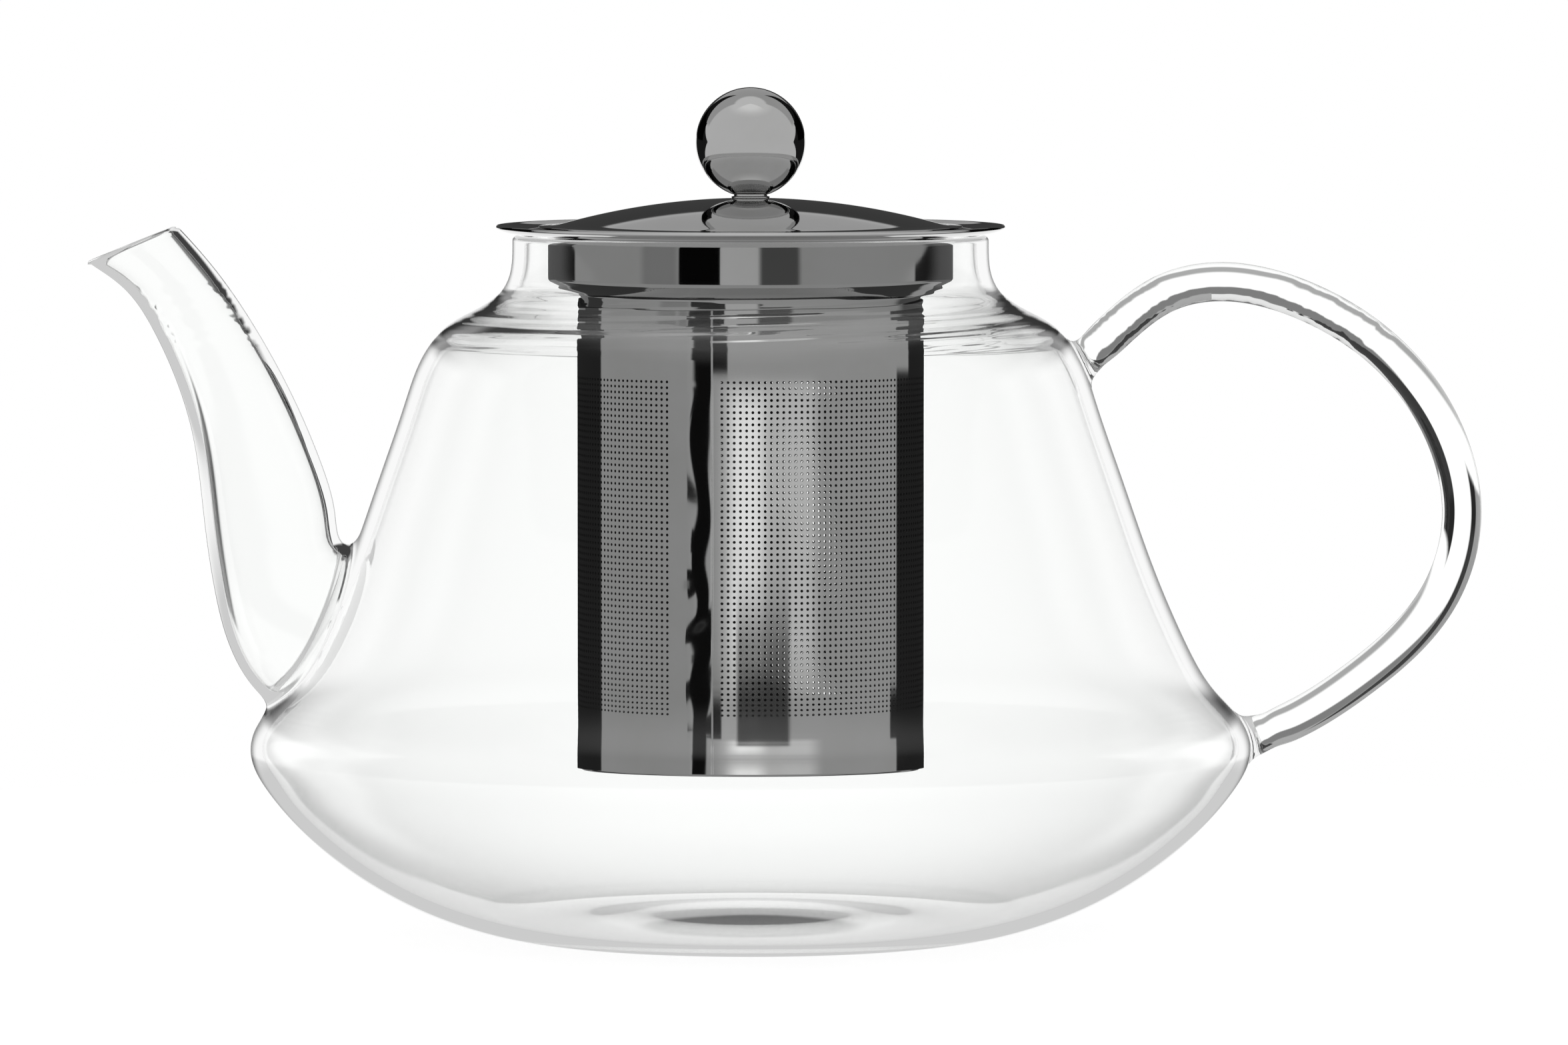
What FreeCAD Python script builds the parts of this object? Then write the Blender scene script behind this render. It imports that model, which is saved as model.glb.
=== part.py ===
"""Glass teapot with a lift-out steel infuser and a lift-off domed lid.

Frame: +Z is up, the spout points along -X and the handle along +X. The origin is the centre of the
foot, on the surface the pot stands on. Millimetres. Each sub-part is written to parts/NODE.step.
"""

import FreeCAD, Part
import math
import os

# Glass pot
GLASS_WALL = 2.0
FOOT_R = 34.0              # outer edge of the flat ring the pot stands on
FOOT_INNER_R = 27.0
PUNT_RISE = 1.4            # how far the middle of the base is pushed up
FLOOR_Z = 3.6              # inside of the base, at the axis
BELLY_R = 82.6             # the widest point of the body
BELLY_Z = 31.2
SHOULDER_R = 53.6
SHOULDER_Z = 96.8
NECK_R = 39.2
NECK_TOP_Z = 115.9

# Spout: stations from the mouth to the foot, each (x, z, tilt of the section, width in plane, width across)
SPOUT_STATIONS = [
    (-101.8, 114.5, 22.0, 16.0, 13.0),
    (-96.9, 110.3, 29.0, 13.8, 13.6),
    (-92.2, 103.9, 36.0, 14.3, 14.3),
    (-87.9, 96.2, 30.0, 15.6, 15.6),
    (-84.0, 87.2, 24.0, 17.5, 17.4),
    (-81.0, 77.5, 16.0, 20.0, 19.6),
    (-79.1, 68.5, 16.0, 21.8, 21.4),
    (-77.8, 60.5, 30.0, 23.0, 23.0),
    (-74.6, 53.6, 53.0, 27.6, 25.6),
    (-66.0, 48.5, 66.0, 31.0, 27.0),
]
SPOUT_WALL = 1.5
SPOUT_RING_POINTS = 12     # points that shape one section

# Handle: a solid rod, through these centre points in the XZ plane
HANDLE_D = 6.5
HANDLE_POINTS = [
    (49.0, 91.2),
    (54.6, 95.3),
    (60.3, 100.5),
    (68.4, 106.4),
    (77.6, 108.2),
    (90.6, 105.3),
    (106.0, 95.2),
    (114.9, 81.5),
    (117.1, 69.0),
    (113.0, 55.6),
    (100.6, 43.0),
    (89.0, 35.7),
    (82.6, 33.2),
    (77.0, 31.6),
]
HANDLE_WELD_D = 9.0        # where the rod spreads onto the body
HANDLE_WAIST_D = 6.0       # just off the weld, where the hot glass was drawn in
HANDLE_STEPS = 4           # sections between two centre points

# Infuser: collar, perforated screen and base, all thin polished steel
STEEL_T = 0.5
FLANGE_R = 41.9
FLANGE_FLAT_R = 38.6       # the flat part rests on the glass rim, beyond it the edge curls up
FLANGE_Z = 116.2           # underside of the flat part, just over the glass rim
FLANGE_CURL_R = 6.5
COLLAR_R = 33.3            # outside of the collar's cup
COLLAR_BEND_R = 1.4        # bend between cup and flange
CUP_LOW_Z = 108.2          # where the cup starts to taper
TAPER_LOW_Z = 104.6        # where the taper meets the spigot
SCREEN_R = 28.5            # outside of the screen
SCREEN_T = 0.4
SCREEN_TOP_Z = 102.6
SCREEN_LOW_Z = 30.2
SPIGOT_LOW_Z = 98.6        # the collar reaches this far down inside the screen
SLIP_GAP = 0.05            # between parts of the infuser that are pushed into each other
REST_GAP = 0.2             # under the lid, where it rests on the flange
LAP_WIDTH_DEG = 15.0       # the sheet's two ends overlap over this angle
LAP_EDGE_DEG = -102.4      # where the outer end of the sheet stops, from +X about +Z
LAP_RISE = 0.25
BASE_Z = 29.6
BASE_WALL = 5.0
BASE_EDGE_R = 1.0

# Lid
DOME_R = 32.2              # edge of the dome, where the brim starts
DOME_SPHERE_R = 115.0
LID_R = 34.9
LID_T = 0.5
BRIM_Z = FLANGE_Z + STEEL_T + REST_GAP
SKIRT_R = 32.1             # outside of the ring that keeps the lid centred
SKIRT_DEPTH = 8.0
SCREW_HOLE_R = 2.2

# Knob
BALL_R = 9.05
BALL_T = 0.6
NECK_BOSS_R = 3.0          # the short neck between ball and dome
NECK_BOSS_HEIGHT = 0.6
INSERT_LENGTH = 8.0
THREAD_R = 2.0
THREAD_GAP = 0.02
SCREW_HEAD_R = 3.6
SCREW_HEAD_H = 2.4
SCREW_REACH = 6.0          # thread inside the insert
SLOT_W = 1.1
SLOT_DEPTH = 1.2
WASHER_R = 4.6
WASHER_T = 0.8
SPRING_WASHER_R = 3.5
SPRING_WASHER_T = 0.9
SPRING_WASHER_GAP = 0.8    # the split in the spring washer

AXIS_Z = FreeCAD.Vector(0, 0, 1)
ORIGIN = FreeCAD.Vector(0, 0, 0)
FULL_TURN = 360.0


def at(r, z):
    """The point at radius r and height z, in the XZ plane."""
    return FreeCAD.Vector(r, 0, z)


def line(a, b):
    return Part.LineSegment(a, b).toShape()


def arc(a, middle, b):
    return Part.Arc(a, middle, b).toShape()


def spline(points, start=None, end=None):
    """A smooth curve through the points, with a direction at each end if they are given."""
    curve = Part.BSplineCurve()
    if start is None:
        curve.interpolate(Points=points)
    else:
        curve.interpolate(Points=points, InitialTangent=start, FinalTangent=end)
    return curve.toShape()


def turned(edges):
    """The solid swept by a closed outline of edges about the Z axis."""
    face = Part.Face(Part.Wire(edges))
    return face.revolve(ORIGIN, AXIS_Z, FULL_TURN)


def outline(points):
    """Straight edges that join the points into a closed outline."""
    return [line(a, b) for a, b in zip(points, points[1:] + points[:1])]


def cylinder(radius, low, high):
    return Part.makeCylinder(radius, high - low, at(0, low), AXIS_Z)


def tube(outer, inner, low, high):
    return cylinder(outer, low, high).cut(cylinder(inner, low, high))


# Glass pot


def body_outside():
    """Outer profile from the foot to the rim: bowl, belly, hollow flank, shoulder and neck."""
    points = [
        at(FOOT_R, 0.0),
        at(48.0, 2.4),
        at(61.5, 8.4),
        at(72.9, 16.9),
        at(80.0, 25.0),
        at(BELLY_R, BELLY_Z),
        at(81.2, 35.6),
        at(76.8, 40.4),
        at(71.9, 48.4),
        at(66.0, 62.2),
        at(61.3, 75.6),
        at(56.9, 88.4),
        at(SHOULDER_R, SHOULDER_Z),
        at(49.4, 101.4),
        at(43.3, 104.6),
        at(40.0, 108.0),
        at(NECK_R, 112.0),
        at(NECK_R, NECK_TOP_Z - GLASS_WALL / 2),
    ]
    return points


def offset_inwards(edge, distance, samples, first, last):
    """Points a distance inside a profile edge, spread over part of its length."""
    points = []
    for i in range(samples):
        share = first + (last - first) * i / (samples - 1)
        parameter = edge.getParameterByLength(share * edge.Length)
        tangent = edge.tangentAt(parameter)
        inward = FreeCAD.Vector(-tangent.z, 0, tangent.x)
        points.append(edge.valueAt(parameter) + inward * distance)
    return points


def body_profiles():
    """Outer and inner profile edges of the pot."""
    outward, up = FreeCAD.Vector(1, 0, 0), FreeCAD.Vector(0, 0, 1)
    outer = spline(body_outside(), outward, up)
    inner_points = offset_inwards(outer, GLASS_WALL, 30, 0.07, 1.0)
    floor = at(0, FLOOR_Z)
    inner = spline([floor] + inner_points, outward, up)
    return outer, inner


def pot_solids():
    """The hollow pot before the spout's hole is cut, and the same body filled solid."""
    outer, inner = body_profiles()
    outer_top, inner_top = outer.Vertexes[-1].Point, inner.Vertexes[-1].Point
    rim_top = at((outer_top.x + inner_top.x) / 2, NECK_TOP_Z)
    punt = spline([at(0, PUNT_RISE), at(FOOT_INNER_R * 0.6, PUNT_RISE * 0.8), at(FOOT_INNER_R, 0)])
    foot = line(at(FOOT_INNER_R, 0), at(FOOT_R, 0))
    rim = arc(outer_top, rim_top, inner_top)
    axis_wall = line(at(0, FLOOR_Z), at(0, PUNT_RISE))
    hollow = turned([punt, foot, outer, rim, inner, axis_wall])
    lid_line = line(outer_top, at(0, outer_top.z))
    filled = turned([punt, foot, outer, lid_line, line(at(0, outer_top.z), at(0, PUNT_RISE))])
    return hollow, filled


def ring(x, z, tilt, half_in_plane, half_across):
    """A closed smooth section, tilted about Y, whose first axis lies in the XZ plane."""
    along = FreeCAD.Vector(math.cos(math.radians(tilt)), 0, math.sin(math.radians(tilt)))
    across = FreeCAD.Vector(0, 1, 0)
    points = []
    for i in range(SPOUT_RING_POINTS):
        a = 2 * math.pi * i / SPOUT_RING_POINTS
        offset = along * (half_in_plane * math.cos(a)) + across * (half_across * math.sin(a))
        points.append(at(x, z) + offset)
    curve = Part.BSplineCurve()
    curve.interpolate(Points=points, PeriodicFlag=True)
    return Part.Wire(curve.toShape())


def spout_loft(wall):
    """The spout's outside, or its bore when a wall thickness is taken off."""
    rings = [
        ring(x, z, tilt, in_plane / 2 - wall, across / 2 - wall)
        for x, z, tilt, in_plane, across in SPOUT_STATIONS
    ]
    return Part.makeLoft(rings, True, False)


def handle_rod():
    """The rod with its two spread ends, as a loft of circles across its centre line."""
    centre = spline([at(x, z) for x, z in HANDLE_POINTS])
    count = (len(HANDLE_POINTS) - 1) * HANDLE_STEPS + 1
    weld_reach = 9.0       # the rod is plain beyond this distance from where it enters the body
    circles = []
    for i in range(count):
        along = centre.Length * i / (count - 1)
        parameter = centre.getParameterByLength(along)
        from_end = min(along, centre.Length - along)
        share = max(0.0, 1.0 - from_end / weld_reach)
        spread = (HANDLE_WELD_D - HANDLE_D) * share ** 2
        waist = (HANDLE_WAIST_D - HANDLE_D) * math.exp(-(((from_end - weld_reach) / 2.0) ** 2))
        radius = (HANDLE_D + spread + waist) / 2
        circle = Part.Circle(centre.valueAt(parameter), centre.tangentAt(parameter), radius)
        circles.append(Part.Wire(circle.toShape()))
    return Part.makeLoft(circles, True, False)


def slice_between(shape, low, high):
    """The part of a shape between two heights."""
    side = 2 * BELLY_R + 2
    slab = Part.makeBox(side, side, high - low, FreeCAD.Vector(-side / 2, -side / 2, low))
    return shape.common(slab)


def glass_parts():
    """The blown body, in three rings that meet face to face, with spout and handle."""
    hollow, filled = pot_solids()
    bore = spout_loft(SPOUT_WALL)
    body = hollow.cut(bore)
    spout = spout_loft(0.0).cut(bore).cut(filled)
    handle = handle_rod().cut(filled)
    return {
        "pot_bowl": slice_between(body, 0.0, BELLY_Z),
        "pot_flank": slice_between(body, BELLY_Z, SHOULDER_Z),
        "pot_neck": slice_between(body, SHOULDER_Z, NECK_TOP_Z),
        "spout": largest(spout),
        "handle": largest(handle),
    }


def largest(shape):
    """The largest solid of a shape, without the scraps a cut leaves inside the pot."""
    return max(shape.Solids, key=lambda solid: solid.Volume)


# Infuser


def infuser_collar():
    """Flange, bend, cup, taper and spigot, turned from one strip of sheet."""
    t = STEEL_T
    cos45 = math.cos(math.radians(45))
    bend_centre = at(COLLAR_R + COLLAR_BEND_R, FLANGE_Z - COLLAR_BEND_R)
    spigot_r = SCREEN_R - SCREEN_T - SLIP_GAP

    def bend_middle(radius):
        return bend_centre + at(-radius * cos45, radius * cos45)

    def curl_point(radius, share):
        """A point of the curled edge, at a share of the way from the flat part to the tip."""
        full = math.asin((FLANGE_R - FLANGE_FLAT_R) / FLANGE_CURL_R)
        centre = at(FLANGE_FLAT_R, FLANGE_Z + FLANGE_CURL_R)
        return centre + at(radius * math.sin(full * share), -radius * math.cos(full * share))

    low_r, high_r = FLANGE_CURL_R, FLANGE_CURL_R - t
    tip_middle = curl_point((low_r + high_r) / 2, 1.04)
    inner_r = COLLAR_R - t
    under = [
        line(at(spigot_r, SPIGOT_LOW_Z), at(spigot_r, TAPER_LOW_Z)),
        line(at(spigot_r, TAPER_LOW_Z), at(COLLAR_R, CUP_LOW_Z)),
        line(at(COLLAR_R, CUP_LOW_Z), at(COLLAR_R, bend_centre.z)),
        arc(at(COLLAR_R, bend_centre.z), bend_middle(COLLAR_BEND_R), at(bend_centre.x, FLANGE_Z)),
        line(at(bend_centre.x, FLANGE_Z), at(FLANGE_FLAT_R, FLANGE_Z)),
        arc(at(FLANGE_FLAT_R, FLANGE_Z), curl_point(low_r, 0.5), curl_point(low_r, 1.0)),
    ]
    over = [
        arc(curl_point(low_r, 1.0), tip_middle, curl_point(high_r, 1.0)),
        arc(curl_point(high_r, 1.0), curl_point(high_r, 0.5), at(FLANGE_FLAT_R, FLANGE_Z + t)),
        line(at(FLANGE_FLAT_R, FLANGE_Z + t), at(bend_centre.x, FLANGE_Z + t)),
        arc(
            at(bend_centre.x, FLANGE_Z + t),
            bend_middle(COLLAR_BEND_R + t),
            at(inner_r, bend_centre.z),
        ),
        line(at(inner_r, bend_centre.z), at(inner_r, CUP_LOW_Z + t / 2)),
        line(at(inner_r, CUP_LOW_Z + t / 2), at(spigot_r - t, TAPER_LOW_Z + t / 2)),
        line(at(spigot_r - t, TAPER_LOW_Z + t / 2), at(spigot_r - t, SPIGOT_LOW_Z)),
        line(at(spigot_r - t, SPIGOT_LOW_Z), at(spigot_r, SPIGOT_LOW_Z)),
    ]
    return turned(under + over)


def infuser_screen():
    """The rolled sheet, with the lap where its two ends are welded on each other."""
    sheet = tube(SCREEN_R, SCREEN_R - SCREEN_T, SCREEN_LOW_Z, SCREEN_TOP_Z)
    face_edges = outline([
        at(SCREEN_R - SCREEN_T / 2, SCREEN_LOW_Z),
        at(SCREEN_R + LAP_RISE, SCREEN_LOW_Z),
        at(SCREEN_R + LAP_RISE, SCREEN_TOP_Z),
        at(SCREEN_R - SCREEN_T / 2, SCREEN_TOP_Z),
    ])
    lap = Part.Face(Part.Wire(face_edges)).revolve(ORIGIN, AXIS_Z, LAP_WIDTH_DEG)
    lap.rotate(ORIGIN, AXIS_Z, LAP_EDGE_DEG - LAP_WIDTH_DEG)
    return sheet.fuse(lap).removeSplitter()


def infuser_base():
    """A shallow pan pushed up into the screen, with a rounded lower edge."""
    radius = SCREEN_R - SCREEN_T - SLIP_GAP
    inner = radius - STEEL_T
    edge = BASE_EDGE_R
    cos45 = math.cos(math.radians(45))
    floor = BASE_Z + STEEL_T
    top = BASE_Z + BASE_WALL
    low_centre = at(radius - edge, BASE_Z + edge)
    low_middle = low_centre + at(edge * cos45, -edge * cos45)
    inner_edge = edge - STEEL_T
    high_middle = low_centre + at(inner_edge * cos45, -inner_edge * cos45)
    return turned([
        line(at(0, BASE_Z), at(radius - edge, BASE_Z)),
        arc(at(radius - edge, BASE_Z), low_middle, at(radius, BASE_Z + edge)),
        line(at(radius, BASE_Z + edge), at(radius, top)),
        line(at(radius, top), at(inner, top)),
        line(at(inner, top), at(inner, BASE_Z + edge)),
        arc(at(inner, BASE_Z + edge), high_middle, at(radius - edge, floor)),
        line(at(radius - edge, floor), at(0, floor)),
        line(at(0, floor), at(0, BASE_Z)),
    ])


# Lid


def dome_rise(r):
    """Height of the dome's outside above its edge, at radius r."""
    return math.sqrt(DOME_SPHERE_R**2 - r**2) - math.sqrt(DOME_SPHERE_R**2 - DOME_R**2)


DOME_TOP_Z = BRIM_Z + LID_T + dome_rise(0.0)


def lid_dome():
    """A domed disc with a narrow flat brim and a hole for the knob's screw."""
    low, high = BRIM_Z, BRIM_Z + LID_T
    middle = DOME_R / 2
    hole = SCREW_HOLE_R
    return turned([
        arc(at(hole, high + dome_rise(hole)), at(middle, high + dome_rise(middle)), at(DOME_R, high)),
        line(at(DOME_R, high), at(LID_R, high)),
        arc(at(LID_R, high), at(LID_R + LID_T / 4, (low + high) / 2), at(LID_R, low)),
        line(at(LID_R, low), at(DOME_R, low)),
        arc(at(DOME_R, low), at(middle, low + dome_rise(middle)), at(hole, low + dome_rise(hole))),
        line(at(hole, low + dome_rise(hole)), at(hole, high + dome_rise(hole))),
    ])


def lid_skirt():
    """The ring under the lid, with a foot that is welded to the brim's underside."""
    low = BRIM_Z - SKIRT_DEPTH
    return tube(SKIRT_R, SKIRT_R - LID_T, low, BRIM_Z)


# Knob


def ball_low_z():
    return DOME_TOP_Z + NECK_BOSS_HEIGHT - (BALL_R - math.sqrt(BALL_R**2 - NECK_BOSS_R**2))


def knob_ball():
    """A hollow ball with a hole where the threaded insert is welded in."""
    centre = at(0, ball_low_z() + BALL_R)
    shell = Part.makeSphere(BALL_R, centre).cut(Part.makeSphere(BALL_R - BALL_T, centre))
    hole = cylinder(NECK_BOSS_R, ball_low_z() - 1, centre.z)
    return shell.cut(hole)


def knob_insert():
    """The turned bush inside the ball, whose lower end is the knob's short neck."""
    low = DOME_TOP_Z
    blank = cylinder(NECK_BOSS_R, low, low + INSERT_LENGTH)
    thread = cylinder(THREAD_R, low, low + SCREW_REACH + 1)
    return blank.cut(thread)


def washer_low_z():
    """Underside of the dome at the screw hole, which the flat washer bears on."""
    return BRIM_Z + dome_rise(WASHER_R)


def knob_washer():
    high = washer_low_z()
    return tube(WASHER_R, SCREW_HOLE_R, high - WASHER_T, high)


def knob_spring_washer():
    high = washer_low_z() - WASHER_T
    whole = tube(SPRING_WASHER_R, SCREW_HOLE_R, high - SPRING_WASHER_T, high)
    split = Part.makeBox(
        SPRING_WASHER_R * 2,
        SPRING_WASHER_GAP,
        SPRING_WASHER_T,
        FreeCAD.Vector(0, -SPRING_WASHER_GAP / 2, high - SPRING_WASHER_T),
    )
    return whole.cut(split)


def knob_screw():
    """A slotted pan-head screw, up through both washers and the dome into the insert."""
    head_top = washer_low_z() - WASHER_T - SPRING_WASHER_T
    shank = cylinder(THREAD_R - THREAD_GAP, head_top, DOME_TOP_Z + SCREW_REACH)
    head = cylinder(SCREW_HEAD_R, head_top - SCREW_HEAD_H, head_top)
    low_edge = [e for e in head.Edges if e.BoundBox.ZMax < head_top - SCREW_HEAD_H / 2]
    head = head.makeFillet(SCREW_HEAD_H / 3, low_edge)
    slot = Part.makeBox(
        SCREW_HEAD_R * 2,
        SLOT_W,
        SLOT_DEPTH,
        FreeCAD.Vector(-SCREW_HEAD_R, -SLOT_W / 2, head_top - SCREW_HEAD_H),
    )
    return head.fuse(shank).cut(slot)


def all_parts():
    parts = glass_parts()
    parts["infuser_collar"] = infuser_collar()
    parts["infuser_screen"] = infuser_screen()
    parts["infuser_base"] = infuser_base()
    parts["lid_dome"] = lid_dome()
    parts["lid_skirt"] = lid_skirt()
    parts["knob_ball"] = knob_ball()
    parts["knob_insert"] = knob_insert()
    parts["knob_washer"] = knob_washer()
    parts["knob_spring_washer"] = knob_spring_washer()
    parts["knob_screw"] = knob_screw()
    return parts


def main():
    os.makedirs("parts", exist_ok=True)
    for name, shape in all_parts().items():
        box = shape.BoundBox
        print(
            f"{name}: solids {len(shape.Solids)}, valid {shape.isValid()}, volume {shape.Volume:.1f}, "
            f"x {box.XMin:.1f} {box.XMax:.1f}, y {box.YMin:.1f} {box.YMax:.1f}, "
            f"z {box.ZMin:.2f} {box.ZMax:.2f}"
        )
        shape.exportStep(f"parts/{name}.step")


main()
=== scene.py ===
"""Looks of the glass teapot: clear glass pot, perforated steel infuser, domed steel lid with a ball knob.

Lengths are in millimetres in the shared frame, +Z up, spout along -X, and become metres where a mesh is
made. The glass is one piece whose welds are rounded by a smooth union of its parts' distance functions.
"""

import math

import bmesh
import bpy
import numpy as np
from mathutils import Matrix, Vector


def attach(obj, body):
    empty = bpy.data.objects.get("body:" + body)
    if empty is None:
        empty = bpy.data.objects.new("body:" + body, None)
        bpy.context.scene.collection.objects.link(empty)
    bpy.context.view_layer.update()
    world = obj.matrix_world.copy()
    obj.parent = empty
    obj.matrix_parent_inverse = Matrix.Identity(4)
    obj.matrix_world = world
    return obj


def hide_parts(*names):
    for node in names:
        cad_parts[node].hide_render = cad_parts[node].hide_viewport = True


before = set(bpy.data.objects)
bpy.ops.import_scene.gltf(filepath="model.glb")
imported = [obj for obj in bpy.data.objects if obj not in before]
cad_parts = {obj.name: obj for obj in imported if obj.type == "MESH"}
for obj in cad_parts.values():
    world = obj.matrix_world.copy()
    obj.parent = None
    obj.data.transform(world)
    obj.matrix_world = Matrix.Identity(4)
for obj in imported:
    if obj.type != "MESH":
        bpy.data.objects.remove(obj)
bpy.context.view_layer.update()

MM = 0.001
UP = np.array([0.0, 0.0, 1.0])

# Glass: outer profile (radius, height) of the blown body from the foot to the neck, whose small bends
# are then averaged out over a reach
BODY_OUTSIDE = [
    (34.0, 0.0), (48.0, 2.4), (61.5, 8.4), (72.9, 16.9), (80.0, 25.0),
    (82.6, 31.2), (81.2, 35.6), (76.8, 40.4), (71.9, 48.4), (66.0, 62.2),
    (61.3, 75.6), (56.9, 88.4), (53.6, 96.8), (49.4, 101.4), (43.3, 104.6),
    (40.0, 108.0), (39.2, 112.0), (39.2, 114.9),
]
BODY_SOFTENING = 1.6
GLASS_WALL = 2.0
RIM_Z = 115.9
RIM_R = 0.9
# The hollow under the foot, and the top of the thick floor as far as where the even wall begins
PUNT = [(0, 1.4), (16, 1.1), (27, 0)]
FLOOR_TOP = [(0, 3.6), (14, 3.0), (32, 1.9)]
WALL_FROM_R = 45.0

# Spout sections from the mouth to the foot: x, z, tilt in degrees, width in the XZ plane, width across
SPOUT_SECTIONS = [
    (-101.8, 114.5, 22.0, 16.0, 13.0),
    (-96.9, 110.3, 29.0, 13.8, 13.6),
    (-92.2, 103.9, 36.0, 14.3, 14.3),
    (-87.9, 96.2, 30.0, 15.6, 15.6),
    (-84.0, 87.2, 24.0, 17.5, 17.4),
    (-81.0, 77.5, 16.0, 20.0, 19.6),
    (-79.1, 68.5, 16.0, 21.8, 21.4),
    (-77.8, 60.5, 30.0, 23.0, 23.0),
    (-74.6, 53.6, 53.0, 27.6, 25.6),
    (-66.0, 48.5, 66.0, 31.0, 27.0),
]
SPOUT_WALL = 1.5

# Handle: centre line (x, z) of the solid rod, from the shoulder to the belly
HANDLE_LINE = [
    (49.0, 91.2), (54.6, 95.3), (60.3, 100.5), (68.4, 106.4), (77.6, 108.2),
    (90.6, 105.3), (106.0, 95.2), (114.9, 81.5), (117.1, 69.0),
    (113.0, 55.6), (100.6, 43.0), (89.0, 35.7), (82.6, 33.2), (77.0, 31.6),
]
HANDLE_D = 6.5
WELD_REACH = 9.0
WELD_SPREAD = 2.5
WAIST_DEPTH = 0.5
WAIST_LENGTH = 2.0

# Infuser
STEEL_T = 0.5
FLANGE_R = 41.9
FLANGE_FLAT_R = 38.6
FLANGE_Z = 116.2
FLANGE_CURL_R = 6.5
FLANGE_EDGE_ROUND = 0.35   # how full the flange's rounded edge is, where 1 is a half circle
COLLAR_R = 33.3
COLLAR_BEND_R = 1.4
CUP_LOW_Z = 108.2
TAPER_LOW_Z = 104.6
SCREEN_R = 28.5
SCREEN_T = 0.4
SCREEN_TOP_Z = 102.6
SCREEN_LOW_Z = 30.2
SPIGOT_LOW_Z = 98.6
SLIP_GAP = 0.05
PLUG_R = SCREEN_R - SCREEN_T - SLIP_GAP    # outside of the spigot and the base pan, in the screen's ends
BASE_Z = 29.6
BASE_WALL = 5.0

# The screen's holes, and the plain strip beside them where the sheet's ends lap
HOLE_ROWS = 56
HOLE_COLUMNS = 170
HOLE_PITCH = 1.006
HOLE_R = 0.25
HOLE_SIDES = 8
HOLES_LOW_Z = 37.05
STRIP_FROM_DEG = -117.1
STRIP_TO_DEG = -100.2
LAP_EDGE_DEG = -102.4
LAP_WIDTH_DEG = 14.0
LAP_RISE = 0.25
LAP_STEP_DEG = 0.25        # half the width of the step down at the outer end's edge
LAP_RUN_DEG = 5.0          # over which the outer end climbs onto the inner one
LAP_WAVE = 0.05            # height of the buckles beside the weld

# Lid and knob
DOME_R = 32.2
DOME_SPHERE_R = 115.0
LID_R = 34.9
LID_T = 0.5
BRIM_Z = 116.9
SKIRT_R = 32.1
SKIRT_DEPTH = 8.0
SCREW_HOLE_R = 2.2
BALL_R = 9.05
BALL_T = 0.6
NECK_R = 3.0
NECK_HEIGHT = 0.6
INSERT_LENGTH = 8.0
THREAD_R = 2.0
STEEL_COLUMNS = 256

# The photograph's camera
CAMERA_PLACE = (5.5, -1896.8, 179.0)
CAMERA_AIM = (5.5, 0.0, 68.5)
CAMERA_LENS = 264.86
SENSOR_WIDTH = 36

# How widely the glass runs together at each weld
SPOUT_BLEND = 4.0
BORE_BLEND = 3.0
HANDLE_BLEND = 2.2

# How finely the glass is meshed: round it, along its profile by length and by degrees of bend, at the
# welds, and along and round the spout and the handle
BODY_COLUMNS = 224
PROFILE_STEP = 2.2
PROFILE_TURN = 4.5
WELD_EDGE = 0.8
WELD_ROUNDS = 5
SPOUT_ROWS, SPOUT_COLUMNS = 110, 64
HANDLE_ROWS, HANDLE_COLUMNS = 190, 32
CURVE_STEPS = 60           # points on each stretch of a spline before it is resampled
NUDGE = 0.05               # step for measuring a slope


# Curves


def smooth_curve(points, count, start=None, end=None):
    """Evenly spaced points on the cubic spline through the given ones, with clamped or free ends."""
    points = np.asarray(points, float)
    steps = np.linalg.norm(np.diff(points[:, :2], axis=0), axis=1)
    n = len(points)
    matrix, right = np.zeros((n, n)), np.zeros_like(points)
    slopes = np.diff(points, axis=0) / steps[:, None]
    for i in range(1, n - 1):
        matrix[i, i - 1 : i + 2] = steps[i], 2 * (steps[i - 1] + steps[i]), steps[i - 1]
        right[i] = 3 * (steps[i] * slopes[i - 1] + steps[i - 1] * slopes[i])
    if start is None:
        matrix[0, :2], right[0] = (2, 1), 3 * slopes[0]
        matrix[-1, -2:], right[-1] = (1, 2), 3 * slopes[-1]
    else:
        matrix[0, 0], right[0] = 1, start
        matrix[-1, -1], right[-1] = 1, end
    tangents = np.linalg.solve(matrix, right)
    dense = []
    for i, h in enumerate(steps):
        t = np.linspace(0, 1, CURVE_STEPS, endpoint=i == n - 2)[:, None]
        dense.append(
            (2 * t**3 - 3 * t**2 + 1) * points[i]
            + (t**3 - 2 * t**2 + t) * h * tangents[i]
            + (3 * t**2 - 2 * t**3) * points[i + 1]
            + (t**3 - t**2) * h * tangents[i + 1]
        )
    return evenly(np.concatenate(dense), count)


def evenly(line, count):
    """The polyline resampled to count points at even distances along its first two coordinates."""
    along = along_line(line[:, :2])
    wanted = np.linspace(0, along[-1], count)
    return np.stack([np.interp(wanted, along, line[:, k]) for k in range(line.shape[1])], 1)


def along_line(line):
    """The length of the line up to each of its points."""
    return np.concatenate([[0], np.cumsum(np.linalg.norm(np.diff(line, axis=0), axis=1))])


def left_of(line):
    """Directions square to the line at its points, to the left of its travel."""
    tangent = np.gradient(line, axis=0)
    tangent /= np.linalg.norm(tangent, axis=1)[:, None]
    return np.stack([-tangent[:, 1], tangent[:, 0]], 1)


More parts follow.
